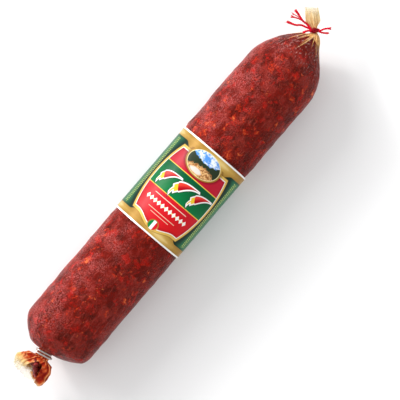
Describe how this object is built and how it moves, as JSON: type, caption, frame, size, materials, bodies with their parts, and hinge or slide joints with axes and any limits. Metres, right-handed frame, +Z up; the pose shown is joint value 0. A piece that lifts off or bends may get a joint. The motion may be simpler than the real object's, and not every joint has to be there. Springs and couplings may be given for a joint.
{
  "type": "cured sausage",
  "caption": "Whole cured sausage lying on its side: coarse meat in a natural casing, tied with red twine at one end, closed by a wire clip at the other, with a printed paper band round it.",
  "frame": {"origin": "on the surface that the sausage lies on, under the middle of the label", "axes": "+X along the sausage towards the tied end, +Z up, the front of the label facing up"},
  "size_m": [0.3928, 0.0662, 0.0653],
  "materials": {
    "meat": "coarse cured meat with fat and paprika, moist",
    "casing": "thin natural casing, tight and glossy over the meat, pale amber where it is empty",
    "clip_wire": "drawn wire, bright",
    "twine": "twisted cotton twine, red",
    "label_paper": "printed coated paper, green, red and gold, satin"
  },
  "bodies": {
    "root": {"filling": "meat", "tail_filling": "meat", "casing": "casing", "end_clip": "clip_wire", "tie_string": "twine", "label": "label_paper"}
  },
  "joints": []
}
